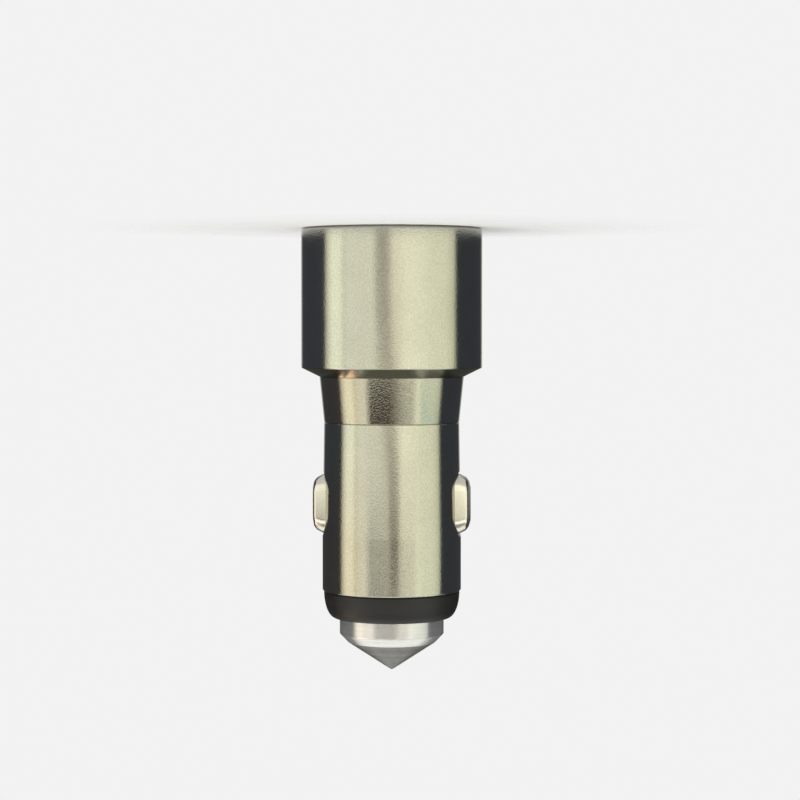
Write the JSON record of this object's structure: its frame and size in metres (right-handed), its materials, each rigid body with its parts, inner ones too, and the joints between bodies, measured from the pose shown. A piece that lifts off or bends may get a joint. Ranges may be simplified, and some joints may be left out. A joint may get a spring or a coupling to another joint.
{
  "type": "car usb charger plug",
  "caption": "Car charger plug: wide head with two sockets, waisted metal barrel, sprung side contacts, black nose ring and a sprung pointed centre contact.",
  "frame": {"origin": "centre of the rim round the socket face, on which the plug stands", "axes": "+Z along the barrel towards the point of the centre contact, +X towards one side contact, sockets one above the other along Y"},
  "size_m": [0.0262, 0.0262, 0.0641],
  "materials": {
    "gunmetal": "polished dark anodised metal",
    "tip_steel": "turned and polished",
    "nickel_plate": "bright nickel plate",
    "spring_steel": "drawn wire",
    "black_plastic": "fine moulded texture",
    "clear_lens": "clear moulded plastic",
    "white_plastic": "moulded",
    "contact_brass": "gold flash",
    "board_green": "solder mask",
    "ferrite": "fired, matt",
    "copper_wire": "enamelled wire",
    "can_sleeve": "printed sleeve left plain",
    "chip_black": "moulded",
    "chip_brown": "ceramic",
    "led_white": "cast resin"
  },
  "bodies": {
    "housing": {"head_shell": "gunmetal", "body_shell": "gunmetal", "left_ground_pad": "nickel_plate", "right_ground_pad": "nickel_plate", "upper_usb_shield": "nickel_plate", "lower_usb_shield": "nickel_plate", "tip_spring": "spring_steel", "left_contact_spring": "spring_steel", "right_contact_spring": "spring_steel", "face_plate": "black_plastic", "end_ring": "black_plastic", "nose_holder": "black_plastic", "light_pipe": "clear_lens", "upper_usb_tongue": "white_plastic", "lower_usb_tongue": "white_plastic", "upper_usb_pins": "contact_brass", "lower_usb_pins": "contact_brass", "tip_terminal": "contact_brass", "main_board": "board_green", "coil_core": "ferrite", "coil_winding": "copper_wire", "input_capacitor": "can_sleeve", "output_capacitor": "can_sleeve", "regulator_chip": "chip_black", "diode": "chip_black", "fuse": "chip_brown", "chip_parts": "chip_brown", "status_led": "led_white"},
    "centre_contact": {"centre_tip": "tip_steel"},
    "left_shoe": {"left_contact": "nickel_plate"},
    "right_shoe": {"right_contact": "nickel_plate"}
  },
  "joints": [
    {"name": "tip_press", "type": "slide", "parent": "housing", "child": "centre_contact", "axis": [0, 0, -1], "range_m": [0, 0.002], "stiffness_N_per_m": 1500, "springref_m": -0.001, "deforming": ["tip_spring"]},
    {"name": "left_contact_press", "type": "slide", "parent": "housing", "child": "left_shoe", "axis": [1, 0, 0], "range_m": [0, 0.0013], "stiffness_N_per_m": 1500, "springref_m": -0.001, "deforming": ["left_contact_spring"]},
    {"name": "right_contact_press", "type": "slide", "parent": "housing", "child": "right_shoe", "axis": [-1, 0, 0], "range_m": [0, 0.0013], "stiffness_N_per_m": 1500, "springref_m": -0.001, "deforming": ["right_contact_spring"]}
  ]
}
